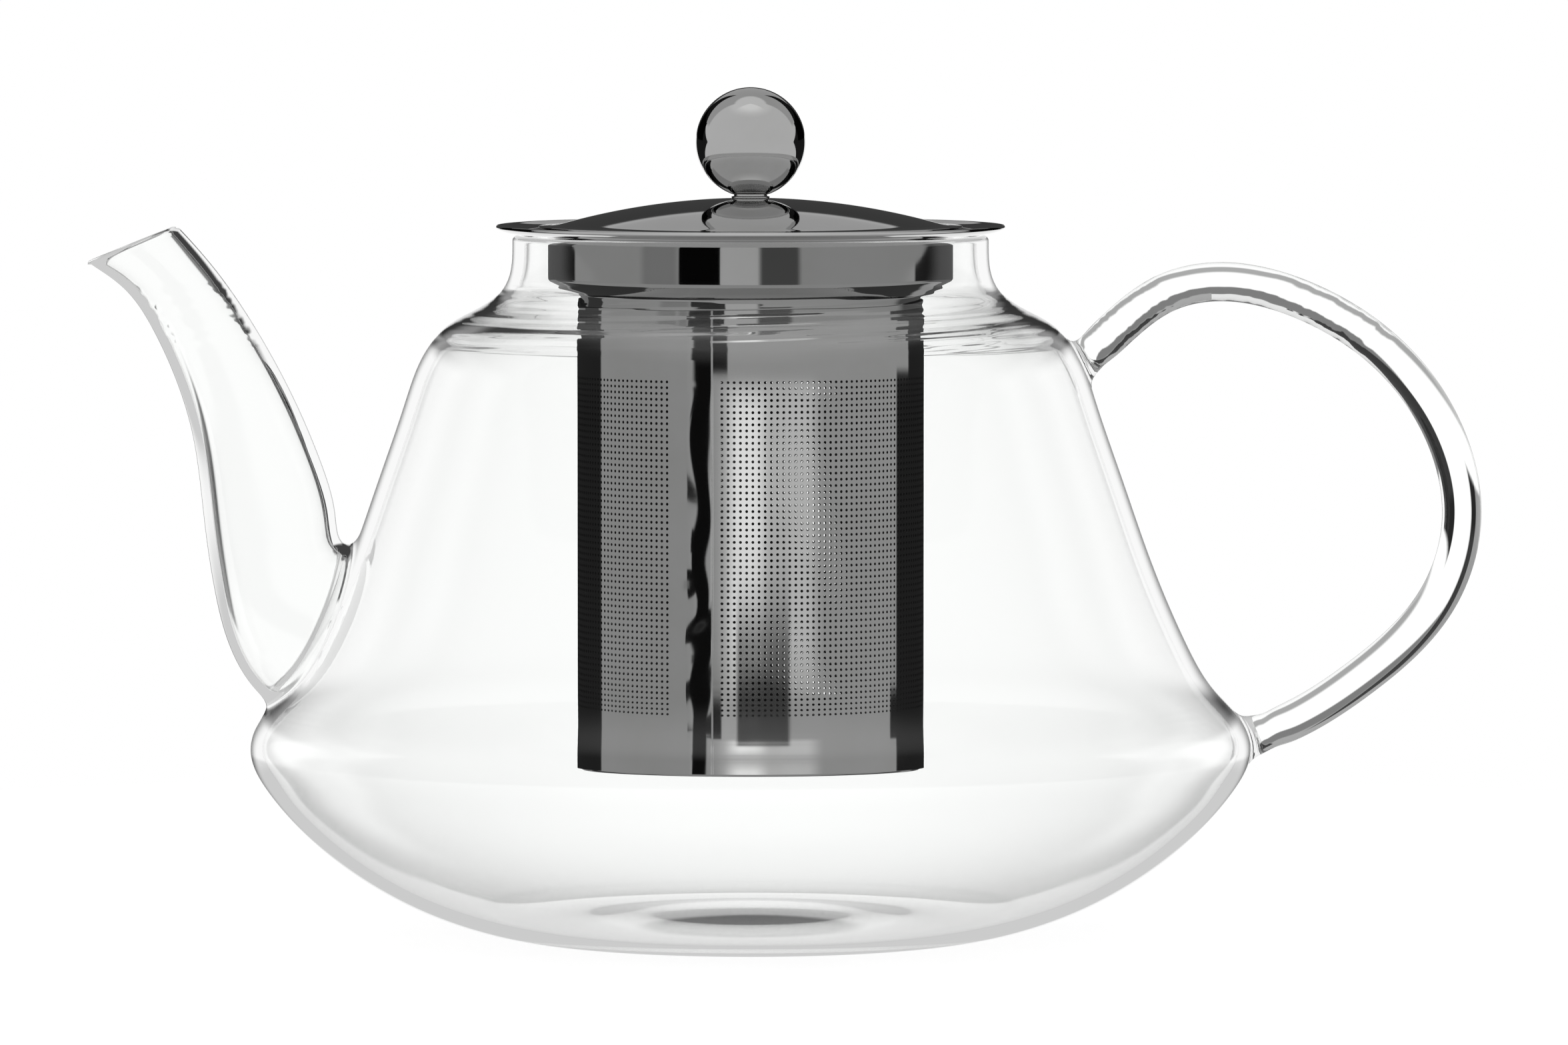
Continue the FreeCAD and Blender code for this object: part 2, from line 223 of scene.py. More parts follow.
def softened(line, reach):
    """An evenly spaced line with its small bends averaged out over a reach. Its ends stay."""
    step = np.linalg.norm(line[1] - line[0])
    half = int(3 * reach / step)
    weights = np.exp(-((np.arange(-half, half + 1) * step / reach) ** 2) / 2)
    weights /= weights.sum()
    before = 2 * line[0] - line[half:0:-1]
    after = 2 * line[-1] - line[-2 : -half - 2 : -1]
    padded = np.vstack([before, line, after])
    return np.stack([np.convolve(padded[:, k], weights, "valid") for k in range(2)], 1)


def arc_points(centre, radius, first, last, count):
    """Points on an arc, between two angles in degrees."""
    angles = np.radians(np.linspace(first, last, count))
    return np.stack([centre[0] + radius * np.cos(angles), centre[1] + radius * np.sin(angles)], 1)


# Meshes


def new_object(name, vertices, faces):
    """A smoothly shaded object from vertices in millimetres."""
    mesh = bpy.data.meshes.new(name)
    mesh.from_pydata((np.asarray(vertices) * MM).tolist(), [], [list(f) for f in faces])
    mesh.validate()
    mesh.polygons.foreach_set("use_smooth", [True] * len(mesh.polygons))
    return linked(name, mesh)


def linked(name, data):
    """A new object in the scene."""
    thing = bpy.data.objects.new(name, data)
    bpy.context.scene.collection.objects.link(thing)
    return thing


def grid_faces(rows, columns):
    """Quads between rings of vertices, a row to each ring."""
    faces = []
    for low in range(0, (rows - 1) * columns, columns):
        for j in range(columns):
            k = (j + 1) % columns
            faces.append((low + j, low + columns + j, low + columns + k, low + k))
    return faces


def turned(name, outline, columns=STEEL_COLUMNS, closed=True):
    """An object turned about Z from an outline (r, z), closed on itself or with ends on the axis."""
    outline = np.asarray(outline, float)
    angles = np.linspace(0, 2 * math.pi, columns, endpoint=False)
    on_axis_first, on_axis_last = bool(outline[0, 0] < 1e-6), bool(outline[-1, 0] < 1e-6)
    body = outline[on_axis_first : len(outline) - on_axis_last]
    r, z = body[:, :1], np.repeat(body[:, 1:], columns, 1)
    vertices = np.stack([r * np.cos(angles), r * np.sin(angles), z], -1).reshape(-1, 3)
    faces = [f[::-1] for f in grid_faces(len(body), columns)]
    ring = [(j, (j + 1) % columns) for j in range(columns)]
    base = (len(body) - 1) * columns
    if closed:
        faces += [(base + k, k, j, base + j) for j, k in ring]
    elif on_axis_first:
        faces += [(len(vertices), k, j) for j, k in ring]
        vertices = np.vstack([vertices, [0, 0, outline[0, 1]]])
    if not closed and on_axis_last:
        faces += [(len(vertices), base + j, base + k) for j, k in ring]
        vertices = np.vstack([vertices, [0, 0, outline[-1, 1]]])
    return new_object(name, vertices, faces)


def lofted(rings):
    """A closed tube through rings of the same number of points, capped."""
    rows, columns = rings.shape[:2]
    faces = grid_faces(rows, columns)
    faces.append(tuple(range(columns)))
    faces.append(tuple(reversed(range((rows - 1) * columns, rows * columns))))
    return new_object("tube", rings.reshape(-1, 3), faces)


# Distances of the glass


def signed_gap(line, points):
    """Distance in a plane from points to a line, positive on the line's right."""
    a, along = line[:-1], np.diff(line, axis=0)
    length_sq = (along**2).sum(1)
    gap = np.empty(len(points))
    batch = 4000
    for i in range(0, len(points), batch):
        rel = points[i : i + batch, None, :] - a[None]
        t = np.clip((rel * along).sum(-1) / length_sq, 0, 1)
        size = np.linalg.norm(rel - t[..., None] * along, axis=-1)
        near = size.argmin(1)
        row = np.arange(len(near))
        side = along[near, 0] * rel[row, near, 1] - along[near, 1] * rel[row, near, 0]
        gap[i : i + batch] = np.where(side > 0, -1, 1) * size[row, near]
    return gap


# The table of distances round the body: its cells, and how far it reaches outwards, down and up
FIELD_CELL = 0.3
FIELD_REACH_R = 96
FIELD_LOW_Z = -6.0
FIELD_HIGH_Z = 124


def revolved_distance(line):
    """A signed distance to a surface of revolution, read from a table over radius and height."""
    radii = np.arange(0, FIELD_REACH_R, FIELD_CELL)
    heights = np.arange(FIELD_LOW_Z, FIELD_HIGH_Z, FIELD_CELL)
    grid = np.stack(np.meshgrid(radii, heights, indexing="ij"), -1)
    field = signed_gap(line[::3], grid.reshape(-1, 2)).reshape(grid.shape[:2])

    def distance(p):
        x = np.hypot(p[:, 0], p[:, 1]) / FIELD_CELL
        y = (p[:, 2] - FIELD_LOW_Z) / FIELD_CELL
        i = np.clip(x.astype(int), 0, len(radii) - 2)
        j = np.clip(y.astype(int), 0, len(heights) - 2)
        u, v = x - i, y - j
        low = field[i, j] * (1 - u) + field[i + 1, j] * u
        high = field[i, j + 1] * (1 - u) + field[i + 1, j + 1] * u
        return low * (1 - v) + high * v

    return distance


SPOUT_SAMPLES = smooth_curve(SPOUT_SECTIONS, count=180)


def spout_distance(wall):
    """A signed distance to the spout's outside, or to its bore when a wall is taken off."""
    centre = SPOUT_SAMPLES[:, :2]
    tilt = np.radians(SPOUT_SAMPLES[:, 2])
    across_plane = np.stack([-np.sin(tilt), np.cos(tilt)], 1)
    in_plane = np.stack([np.cos(tilt), np.sin(tilt)], 1)
    half = SPOUT_SAMPLES[:, 3:5] / 2 - wall

    def distance(p):
        flat = p[:, [0, 2]][:, None, :] - centre[None]
        height = (flat * across_plane).sum(-1)
        change = (height[:, :-1] <= 0) != (height[:, 1:] <= 0)
        reach = np.abs((flat * in_plane).sum(-1))[:, :-1]
        pick = np.where(change, reach, 1e6).argmin(1)
        row = np.arange(len(p))
        found = change[row, pick]
        ends = np.abs(height[:, [0, -1]]).argmin(1)
        pick = np.where(found, pick, np.where(ends == 0, 0, len(centre) - 2))
        low, high = height[row, pick], height[row, pick + 1]
        share = np.clip(low / (low - high + 1e-12), 0, 1)[:, None]
        at = centre[pick] * (1 - share) + centre[pick + 1] * share
        direction = in_plane[pick] * (1 - share) + in_plane[pick + 1] * share
        size = half[pick] * (1 - share) + half[pick + 1] * share
        u = ((p[:, [0, 2]] - at) * direction).sum(-1)
        ratio = np.hypot(u / size[:, 0], p[:, 1] / size[:, 1])
        gap = (ratio - 1) * size.min(1)
        beyond = np.abs(height[row, ends * (len(centre) - 1)])
        return np.where(found, gap, np.hypot(np.maximum(gap, 0), beyond))

    return distance


HANDLE_SAMPLES = smooth_curve(HANDLE_LINE, count=260)


def handle_radius(from_end):
    """The rod's radius at a distance from its nearer end: drawn in at a waist, then spread at the weld."""
    spread = WELD_SPREAD * np.clip(1 - from_end / WELD_REACH, 0, 1) ** 2
    waist = WAIST_DEPTH * np.exp(-(((from_end - WELD_REACH) / WAIST_LENGTH) ** 2))
    return (HANDLE_D + spread - waist) / 2


def handle_distance(p):
    """A signed distance to the handle's rod."""
    length = along_line(HANDLE_SAMPLES)
    radius = handle_radius(np.minimum(length, length[-1] - length))
    flat = p[:, [0, 2]][:, None, :] - HANDLE_SAMPLES[None]
    size = np.sqrt((flat**2).sum(-1) + p[:, 1:2] ** 2) - radius
    return size.min(1)


def smooth_min(a, b, width):
    """The smaller of two distances, run together over a width where they are alike."""
    h = np.clip(1 - np.abs(a - b) / width, 0, 1)
    return np.minimum(a, b) - h**3 * width / 6


outer_line = softened(smooth_curve(BODY_OUTSIDE, 421, start=(1, 0), end=(0, 1)), BODY_SOFTENING)
inner_wall = outer_line + GLASS_WALL * left_of(outer_line)
inner_wall = inner_wall[np.argmax(inner_wall[:, 0] > WALL_FROM_R) :]
floor_top = FLOOR_TOP + [(WALL_FROM_R, inner_wall[0, 1])]
inner_line = np.vstack([smooth_curve(floor_top, 60, start=(1, 0), end=(0.94, 0.33)), inner_wall[1:]])

body_outside = revolved_distance(outer_line)
body_inside = revolved_distance(inner_line)
spout_outside = spout_distance(0.0)
spout_inside = spout_distance(SPOUT_WALL)


def outer_parts(p):
    """Distances to the outsides of the body, the spout and the handle."""
    return body_outside(p), spout_outside(p), handle_distance(p)


def outer_surface(p):
    """A signed distance to the outside of the whole pot, its welds rounded."""
    body, spout, handle = outer_parts(p)
    return smooth_min(smooth_min(body, spout, SPOUT_BLEND), handle, HANDLE_BLEND)


def inner_surface(p):
    """A signed distance to the inside of body and spout, the way into the spout rounded."""
    return smooth_min(body_inside(p), spout_inside(p), BORE_BLEND)


def gradient(function, p):
    """The slope of a function of place, over a step wide enough to smooth the table's cells."""
    step = FIELD_CELL / 2
    moves = step * np.eye(3)
    return np.stack([(function(p + move) - function(p - move)) / (2 * step) for move in moves], 1)


def pulled_onto(function, p):
    """Points moved onto a function's zero surface, by one step of a limited length along its slope."""
    here = function(p)
    slope = np.stack([(function(p + NUDGE * axis) - here) / NUDGE for axis in np.eye(3)], 1)
    size = np.maximum((slope**2).sum(1), 0.1)
    furthest = 1.5
    return p - (np.clip(here, -furthest, furthest) / size)[:, None] * slope


# The glass mesh


def by_bend(line, step, turn):
    """The line resampled with a point each step, and more where it turns, one for each turn in degrees."""
    edges = np.diff(line, axis=0)
    lengths = np.linalg.norm(edges, axis=1)
    angles = np.degrees(np.unwrap(np.arctan2(edges[:, 1], edges[:, 0])))
    bend = np.abs(np.gradient(angles))
    measure = np.concatenate([[0], np.cumsum(lengths / step + bend / turn)])
    wanted = np.linspace(0, measure[-1], int(round(measure[-1])) + 1)
    return np.stack([np.interp(wanted, measure, line[:, k]) for k in range(2)], 1)


def boolean(target, tool, operation):
    """The tool is united with or taken from the target, and removed."""
    step = target.modifiers.new("boolean", "BOOLEAN")
    step.operation, step.object, step.solver = operation, tool, "EXACT"
    evaluated = target.evaluated_get(bpy.context.evaluated_depsgraph_get())
    mesh = bpy.data.meshes.new_from_object(evaluated)
    target.modifiers.remove(step)
    target.data = mesh
    bpy.data.objects.remove(tool)


def glass_outside():
    """The body as if it were solid: hollow under the foot, outside, and the rim's round outer edge."""
    punt = smooth_curve(PUNT, 12, start=(1, 0), end=(0.95, -0.15))
    side = by_bend(outer_line, PROFILE_STEP, PROFILE_TURN)
    neck_r = BODY_OUTSIDE[-1][0]
    rim = arc_points((neck_r - RIM_R, RIM_Z - RIM_R), RIM_R, 0, 90, 6)
    return turned("glass", np.vstack([punt, side, rim, [(0, RIM_Z)]]), BODY_COLUMNS, closed=False)


def glass_inside():
    """The room inside the body, which leans outwards at the rim and goes on past it."""
    side = by_bend(inner_line, PROFILE_STEP, PROFILE_TURN)
    neck_r, lip_r, above_z = inner_line[-1, 0], inner_line[-1, 0] + 1.0, RIM_Z + 3.0
    lip = [(neck_r, RIM_Z - 0.6), (lip_r, RIM_Z + 0.4), (lip_r, above_z), (0, above_z)]
    return turned("inside", np.vstack([side, lip]), BODY_COLUMNS, closed=False)


# Rings that round off the spout's mouth, outside and in its bore: how far each is lifted and widened
MOUTH_OUTSIDE = [(0.0, -0.5), (-0.15, -0.2), (-0.5, 0.0)]
MOUTH_BORE = [(3.0, 0.8), (0.0, 0.8), (-0.35, 0.45)]


def upright(flat):
    """Points or directions (x, z) of the XZ plane in space."""
    return np.stack([flat[:, 0], np.zeros(len(flat)), flat[:, 1]], 1)


def spout_rings(wall, mouth):
    """Rings of the spout's outside, or of its bore when a wall is taken off."""
    line = evenly(SPOUT_SAMPLES, SPOUT_ROWS)
    tilt = np.radians(line[:, 2])
    along = upright(np.stack([np.cos(tilt), np.sin(tilt)], 1))
    outward = np.array([-math.sin(tilt[0]), 0, math.cos(tilt[0])])
    centre = upright(line)
    half = line[:, 3:5] / 2 - wall
    centre = np.vstack([centre[0] + outward * lift for lift, _ in mouth] + [centre[1:]])
    half = np.vstack([half[0] + wider for _, wider in mouth] + [half[1:]])
    along = np.vstack([along[:1]] * len(mouth) + [along[1:]])
    return elliptic_rings(centre, along, half, SPOUT_COLUMNS)


def elliptic_rings(centre, along, half, columns):
    """Rings whose half widths lie along a direction in the XZ plane and along Y."""
    phi = np.linspace(0, 2 * math.pi, columns, endpoint=False)
    rings = centre[:, None] + along[:, None] * (half[:, 0:1] * np.cos(phi))[..., None]
    rings[..., 1] += half[:, 1:2] * np.sin(phi)
    return rings


def handle_rings():
    """Round rings along the handle's rod."""
    line = evenly(HANDLE_SAMPLES, HANDLE_ROWS)
    length = along_line(line)
    radius = handle_radius(np.minimum(length, length[-1] - length))
    half = np.stack([radius, radius], 1)
    return elliptic_rings(upright(line), upright(left_of(line)), half, HANDLE_COLUMNS)


def side_and_weld(p):
    """For points of the glass below its rim: whether each is outside, and whether it is at a weld."""
    body, spout, handle = outer_parts(p)
    outer_gap = np.minimum(np.minimum(body, spout), handle)
    inner_body, inner_spout = body_inside(p), spout_inside(p)
    inner_gap = np.minimum(inner_body, inner_spout)
    outer = np.abs(outer_gap) <= np.abs(inner_gap)
    past = 1.3
    spout_weld = np.maximum(body, spout) < past * SPOUT_BLEND
    handle_weld = np.maximum(body, handle) < past * HANDLE_BLEND
    inner_weld = np.maximum(inner_body, inner_spout) < past * BORE_BLEND
    low_enough = p[:, 2] < RIM_Z - 3
    return outer, np.where(outer, spout_weld | handle_weld, inner_weld) & low_enough


def on_glass(p, outer):
    """Points moved onto the outside or the inside of the glass."""
    p = p.copy()
    if outer.any():
        p[outer] = pulled_onto(outer_surface, p[outer])
    if (~outer).any():
        p[~outer] = pulled_onto(inner_surface, p[~outer])
    return p


def even_mesh(bm):
    """Remeshes the tagged vertices' faces with even triangles that lie on the blended glass."""
    longest, shortest = 1.4 * WELD_EDGE, 0.6 * WELD_EDGE
    for _ in range(WELD_ROUNDS):
        faces = [f for f in bm.faces if any(v.tag for v in f.verts)]
        bmesh.ops.triangulate(bm, faces=faces)
        long = [e for e in bm.edges if e.calc_length() > longest and all(v.tag for v in e.verts)]
        made = bmesh.ops.subdivide_edges(bm, edges=long, cuts=1)
        for v in made["geom_inner"]:
            if isinstance(v, bmesh.types.BMVert):
                v.tag = True
        faces = [f for f in bm.faces if len(f.verts) > 3 and any(v.tag for v in f.verts)]
        bmesh.ops.triangulate(bm, faces=faces)
        collapse_short(bm, shortest)
        faces = [f for f in bm.faces if all(v.tag for v in f.verts)]
        edges = [e for e in bm.edges if all(v.tag for v in e.verts)]
        bmesh.ops.beautify_fill(bm, faces=faces, edges=edges, method="ANGLE")
        relax(bm)


def collapse_short(bm, limit):
    """Short edges between tagged vertices are closed up, no two of them next to each other."""
    taken, chosen = set(), []
    short = [e for e in bm.edges if all(v.tag for v in e.verts) and e.calc_length() < limit]
    for e in sorted(short, key=lambda e: e.calc_length()):
        a, b = e.verts
        near_a = {x.other_vert(a) for x in a.link_edges}
        near_b = {x.other_vert(b) for x in b.link_edges}
        around = near_a | near_b
        if len(near_a & near_b) == 2 and not around & taken:
            taken |= around
            chosen.append(e)
    bmesh.ops.collapse(bm, edges=chosen)


def relax(bm):
    """Tagged vertices move towards the middle of their neighbours and back onto the glass."""
    bm.verts.index_update()
    p = np.array([v.co for v in bm.verts])
    tagged = np.array([v.tag for v in bm.verts])
    ends = np.array([[v.index for v in e.verts] for e in bm.edges])
    total, count = np.zeros_like(p), np.zeros(len(p))
    for a, b in (ends.T, ends[:, ::-1].T):
        np.add.at(total, a, p[b])
        np.add.at(count, a, 1)
    middle = total[tagged] / count[tagged, None]
    outer = side_and_weld(p[tagged])[0]
    part_way = 0.6
    moved = on_glass(p[tagged] + part_way * (middle - p[tagged]), outer)
    for v, co in zip([v for v in bm.verts if v.tag], moved.tolist()):
        v.co = co


def weld_normals(bm):
    """Normals from the distances' slopes at the tagged vertices, and zeros, for automatic ones, elsewhere."""
    p = np.array([v.co for v in bm.verts])
    tagged = np.array([v.tag for v in bm.verts])
    outer = side_and_weld(p)[0]
    normals = np.zeros_like(p)
    for side, function, sign in ((outer, outer_surface, 1), (~outer, inner_surface, -1)):
        pick = tagged & side
        slope = gradient(function, p[pick])
        normals[pick] = sign * slope / np.linalg.norm(slope, axis=1)[:, None]
    return normals


def glass_mesh():
    """The pot as one closed skin: outside, rims and inside, with rounded welds."""
    glass = glass_outside()
    boolean(glass, lofted(spout_rings(0.0, MOUTH_OUTSIDE)), "UNION")
    boolean(glass, lofted(handle_rings()), "UNION")
    cavity = glass_inside()
    boolean(cavity, lofted(spout_rings(SPOUT_WALL, MOUTH_BORE)), "UNION")
    boolean(glass, cavity, "DIFFERENCE")
    bm = bmesh.new()
    bm.from_mesh(glass.data)
    bmesh.ops.scale(bm, vec=(1 / MM,) * 3, verts=bm.verts)
    bmesh.ops.remove_doubles(bm, verts=bm.verts, dist=0.02)
    p = np.array([v.co for v in bm.verts])
    for v, at_weld in zip(bm.verts, side_and_weld(p)[1]):
        v.tag = bool(at_weld)
    even_mesh(bm)
    bmesh.ops.dissolve_degenerate(bm, dist=1e-4, edges=bm.edges)
    normals = weld_normals(bm)
    bmesh.ops.scale(bm, vec=(MM,) * 3, verts=bm.verts)
    bm.to_mesh(glass.data)
    bm.free()
    glass.data.polygons.foreach_set("use_smooth", [True] * len(glass.data.polygons))
    glass.data.normals_split_custom_set_from_vertices(normals.tolist())
    return glass


# Steel pieces


def rounded_outline(corners, closed=True, steps=6):
    """An outline through corners (r, z, bend radius), each turned with an arc of its radius."""
    points = []
    count = len(corners)
    for i, (r, z, bend) in enumerate(corners):
        here = np.array([r, z], float)
        if not bend or (not closed and i in (0, count - 1)):
            points.append(here)
            continue
        before = np.array(corners[i - 1][:2]) - here
        after = np.array(corners[(i + 1) % count][:2]) - here
        before /= np.linalg.norm(before)
        after /= np.linalg.norm(after)
        half = math.acos(np.clip(before @ after, -1, 1)) / 2
        middle = before + after
        centre = here + middle / np.linalg.norm(middle) * bend / math.sin(half)
        first = here + before * bend / math.tan(half) - centre
        last = here + after * bend / math.tan(half) - centre
        sweep = math.atan2(first[0] * last[1] - first[1] * last[0], first @ last)
        for t in np.linspace(0, sweep, steps):
            cos, sin = math.cos(t), math.sin(t)
            points.append(centre + [cos * first[0] - sin * first[1], sin * first[0] + cos * first[1]])
    return np.array(points)


def collar():
    """Flange with its curled edge, bend, cup, taper and spigot, all one sheet."""
    t = STEEL_T
    full = math.degrees(math.asin((FLANGE_R - FLANGE_FLAT_R) / FLANGE_CURL_R))
    curl_centre = (FLANGE_FLAT_R, FLANGE_Z + FLANGE_CURL_R)
    under = [
        (PLUG_R, SPIGOT_LOW_Z, 0),
        (PLUG_R, TAPER_LOW_Z, 1.2),
        (COLLAR_R, CUP_LOW_Z, 1.0),
        (COLLAR_R, FLANGE_Z, COLLAR_BEND_R),
        (FLANGE_FLAT_R, FLANGE_Z, 0),
    ]
    curl_under = arc_points(curl_centre, FLANGE_CURL_R, -90, full - 90, 10)[1:]
    curl_over = arc_points(curl_centre, FLANGE_CURL_R - t, full - 90, -90, 10)[:-1]
    over = [
        (FLANGE_FLAT_R, FLANGE_Z + t, 0),
        (COLLAR_R - t, FLANGE_Z + t, COLLAR_BEND_R + t),
        (COLLAR_R - t, CUP_LOW_Z + t / 2, 0.8),
        (PLUG_R - t, TAPER_LOW_Z + t / 2, 1.4),
        (PLUG_R - t, SPIGOT_LOW_Z, 0),
    ]
    under, over = rounded_outline(under, closed=False), rounded_outline(over, closed=False)
    middle = (curl_under[-1] + curl_over[0]) / 2
    way = (curl_under[-1] - curl_over[0]) / 2
    outward = FLANGE_EDGE_ROUND * np.array([-way[1], way[0]])
    edge = [middle + math.cos(a) * way + math.sin(a) * outward for a in np.radians(range(30, 180, 30))]
    return turned("infuser_collar_sheet", np.vstack([under, curl_under, edge, curl_over, over]))


def base_pan():
    """A shallow pan: its underside, its rim and its inside."""
    inner = PLUG_R - STEEL_T
    bottom, top = BASE_Z + STEEL_T, BASE_Z + BASE_WALL
    outside = [(0, BASE_Z, 0), (PLUG_R, BASE_Z, 1.0), (PLUG_R, top, 0.1)]
    inside = [(inner, top, 0.1), (inner, bottom, 0.5), (0, bottom, 0)]
    return turned("infuser_base_pan", rounded_outline(outside + inside, closed=False, steps=8))


def dome_rise(r):
    """The dome's height over its foot at a radius."""
    return math.sqrt(DOME_SPHERE_R**2 - r**2) - math.sqrt(DOME_SPHERE_R**2 - DOME_R**2)


def dome():
    """A domed disc whose foot bends into a narrow flat brim."""
    low, high = BRIM_Z, BRIM_Z + LID_T
    bend_r, flat_r = DOME_R - 1.5, DOME_R + 1.2
    radii = np.linspace(SCREW_HOLE_R, bend_r, 40)
    under = [(r, low + dome_rise(r)) for r in radii]
    over = [(r, high + dome_rise(r)) for r in radii[::-1]]
    bend_under = smooth_bend(under[-1], (DOME_R, low), (flat_r, low))
    bend_over = smooth_bend((flat_r, high), (DOME_R, high), over[0])
    edge = arc_points((LID_R - LID_T / 2, (low + high) / 2), LID_T / 2, -90, 90, 9)
    return turned("lid_dome_sheet", np.vstack([under, bend_under, edge, bend_over, over]))


def smooth_bend(first, corner, last):
    """Points of a bend from first to last that heads for the corner between them."""
    t = np.linspace(0, 1, 9)[1:-1, None]
    return (1 - t) ** 2 * np.array(first) + 2 * t * (1 - t) * np.array(corner) + t**2 * np.array(last)


def skirt():
    """The ring under the lid that keeps it centred in the collar."""
    low = BRIM_Z - SKIRT_DEPTH
    inner = SKIRT_R - LID_T
    corners = [(inner, low, 0.2), (SKIRT_R, low, 0.2), (SKIRT_R, BRIM_Z, 0.05), (inner, BRIM_Z, 0.05)]
    return turned("lid_skirt_ring", rounded_outline(corners))


DOME_TOP_Z = BRIM_Z + LID_T + dome_rise(0.0)
BALL_LOW_Z = DOME_TOP_Z + NECK_HEIGHT - (BALL_R - math.sqrt(BALL_R**2 - NECK_R**2))
BALL_Z = BALL_LOW_Z + BALL_R


def ball():
    """The hollow ball, open where the threaded neck is welded in."""
    inner_r = BALL_R - BALL_T
    hole = math.degrees(math.acos(NECK_R / BALL_R))
    inner_hole = math.degrees(math.acos(NECK_R / inner_r))
    inside = arc_points((0, BALL_Z), inner_r, 90, -inner_hole, 48)
    outside = arc_points((0, BALL_Z), BALL_R, -hole, 90, 160)
    inside[0, 0] = outside[-1, 0] = 0
    return turned("knob_ball_shell", np.vstack([inside, outside]), closed=False)


def neck():
    """The turned neck between dome and ball, with a small weld fillet under the ball."""
    low, top = DOME_TOP_Z, DOME_TOP_Z + INSERT_LENGTH
    foot_r, waist_r, inside_ball_r = NECK_R + 0.15, NECK_R - 0.25, NECK_R - 0.02
    corners = [
        (THREAD_R, low, 0.1),
        (foot_r, low, 0.08),
        (foot_r, low + 0.22, 0.1),
        (waist_r, low + 0.3, 0.08),
        (waist_r, low + 0.75, 0.0),
        (inside_ball_r, low + 1.1, 0.0),
        (inside_ball_r, top, 0.3),
        (THREAD_R, top, 0.3),
    ]
    return turned("knob_neck", rounded_outline(corners, steps=4), columns=128)


# Perforated screen


def lap_radius(angle, height):
    """Outside of the sheet by angle in degrees: its outer end lies raised on the inner one.

    The plain strip beside the weld is a bit buckled, with two waves of different lengths along its height.
    """
    angle = (np.asarray(angle, float) + 180) % 360 - 180
    from_edge = angle - LAP_EDGE_DEG
    outer_end = 1 - smoothstep(-LAP_STEP_DEG, LAP_STEP_DEG, from_edge)
    rise = smoothstep(-LAP_WIDTH_DEG, LAP_RUN_DEG - LAP_WIDTH_DEG, from_edge) * outer_end
    share = (angle - (STRIP_FROM_DEG + STRIP_TO_DEG) / 2) / (STRIP_TO_DEG - STRIP_FROM_DEG)
    fade = np.exp(-((2.4 * share) ** 2)) * outer_end
    wave = np.sin(height / 4.1 + 1.5 * np.sin(height / 11.0) + 2.5 * share)
    wave = wave + 0.5 * np.sin(height / 2.1 + 2.2 * np.sin(height / 8.0) - 4 * share)
    return SCREEN_R + LAP_RISE * rise + LAP_WAVE * fade * wave


def smoothstep(low, high, value):
    """0 up to low, 1 from high, and a smooth rise between them."""
    t = np.clip((value - low) / (high - low), 0, 1)
    return t * t * (3 - 2 * t)


def quads(*indices):
    return np.stack(indices, 1)


def hole_places(edges, levels, cells):
    """Angles and heights of the corners of the hole in each cell, with the corners' own directions."""
    direction = np.radians((np.arange(HOLE_SIDES) + 0.5) * 360 / HOLE_SIDES)
    row, column = cells.T
    middle_angle = (edges[column] + edges[column + 1]) / 2
    middle_height = levels[row] + HOLE_PITCH / 2
    angle = middle_angle[:, None] + np.degrees(HOLE_R / SCREEN_R) * np.cos(direction)
    height = middle_height[:, None] + HOLE_R * np.sin(direction)
    return angle, height, direction


def punched_faces(corner, cells, hole):
    """Faces round each hole: a quad to each side of its cell, and a triangle to each corner.

    The cell's corners and the hole's eight are counted from the top right, round to the left.
    """
    i, j = cells.T
    cell = [corner[i + 1, j + 1], corner[i + 1, j], corner[i, j], corner[i, j + 1]]
    sides, corners = [], []
    for k, here in enumerate(cell):
        sides.append(quads(cell[k - 1], here, hole[:, 2 * k], hole[:, 2 * k - 1]))
        corners.append(quads(here, hole[:, 2 * k + 1], hole[:, 2 * k]))
    return np.vstack(sides), np.vstack(corners)


def sheet_skin(angle, height):
    """The sheet's outside and inside at angles and heights, and the directions that its normals need."""
    radius = lap_radius(angle, height)
    turn = np.radians(angle)
    radial = np.stack([np.cos(turn), np.sin(turn), 0 * turn], 1)
    around = np.stack([-np.sin(turn), np.cos(turn), 0 * turn], 1)
    change = lap_radius(angle + NUDGE, height) - lap_radius(angle - NUDGE, height)
    by_angle = change / np.radians(2 * NUDGE)
    change = lap_radius(angle, height + NUDGE) - lap_radius(angle, height - NUDGE)
    by_height = change / (2 * NUDGE)
    outward = radial - around * (by_angle / radius)[:, None] - UP * by_height[:, None]
    outward /= np.linalg.norm(outward, axis=1)[:, None]
    outside = radial * radius[:, None] + UP * height[:, None]
    inside = radial * (SCREEN_R - SCREEN_T) + UP * height[:, None]
    return outside, inside, outward, radial, around


